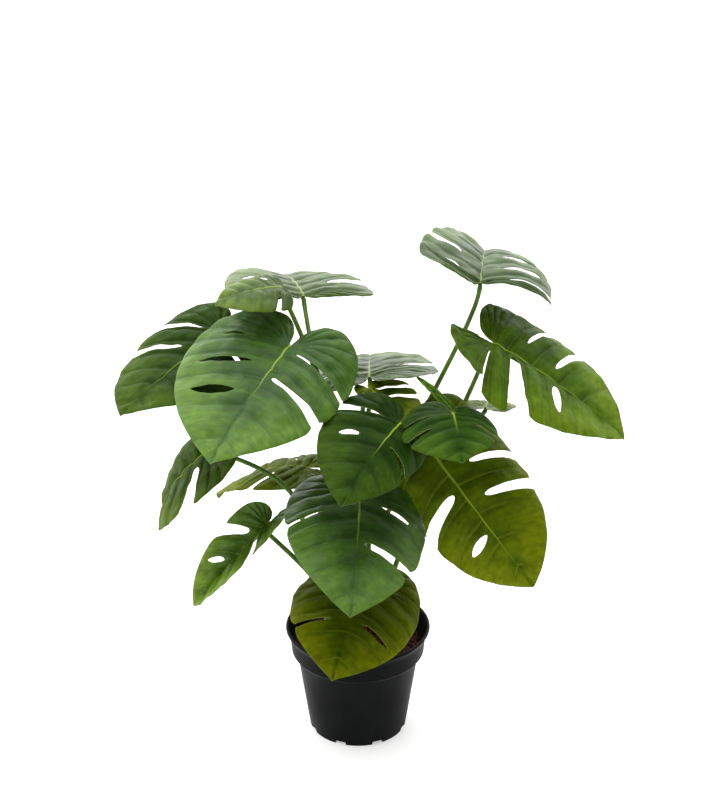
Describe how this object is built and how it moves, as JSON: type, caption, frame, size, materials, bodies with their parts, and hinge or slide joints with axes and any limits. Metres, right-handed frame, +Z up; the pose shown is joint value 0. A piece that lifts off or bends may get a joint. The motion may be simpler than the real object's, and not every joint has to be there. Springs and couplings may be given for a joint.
{
  "type": "potted monstera plant",
  "caption": "Potted monstera: split and holed heart-shaped leaves on slim stems that rise from soil in a tapered black nursery pot.",
  "frame": {"origin": "centre of the pot's underside, on the surface that the pot stands on", "axes": "+Z up along the pot's axis, -Y towards the front of the plant as pictured, +X to the viewer's right"},
  "size_m": [0.4683, 0.3684, 0.4859],
  "materials": {
    "pot": "satin black moulded plastic",
    "soil": "loose dark brown crumbs of peat and bark",
    "leaf": "satin green leaf, darker between the veins, yellow-green midrib",
    "stem": "semi-matte mid green"
  },
  "bodies": {
    "root": {"pot": "pot", "soil": "soil", "leaf_01": "leaf", "leaf_02": "leaf", "leaf_03": "leaf", "leaf_04": "leaf", "leaf_05": "leaf", "leaf_06": "leaf", "leaf_07": "leaf", "leaf_08": "leaf", "leaf_09": "leaf", "leaf_10": "leaf", "leaf_11": "leaf", "leaf_12": "leaf", "leaf_13": "leaf", "leaf_14": "leaf", "leaf_15": "leaf", "leaf_16": "leaf", "leaf_17": "leaf", "leaf_18": "leaf", "stem_01": "stem", "stem_02": "stem", "stem_03": "stem", "stem_04": "stem", "stem_05": "stem", "stem_06": "stem", "stem_07": "stem", "stem_08": "stem", "stem_09": "stem", "stem_10": "stem", "stem_11": "stem", "stem_12": "stem", "stem_13": "stem", "stem_14": "stem", "stem_15": "stem", "stem_16": "stem", "stem_17": "stem", "stem_18": "stem"}
  },
  "joints": []
}
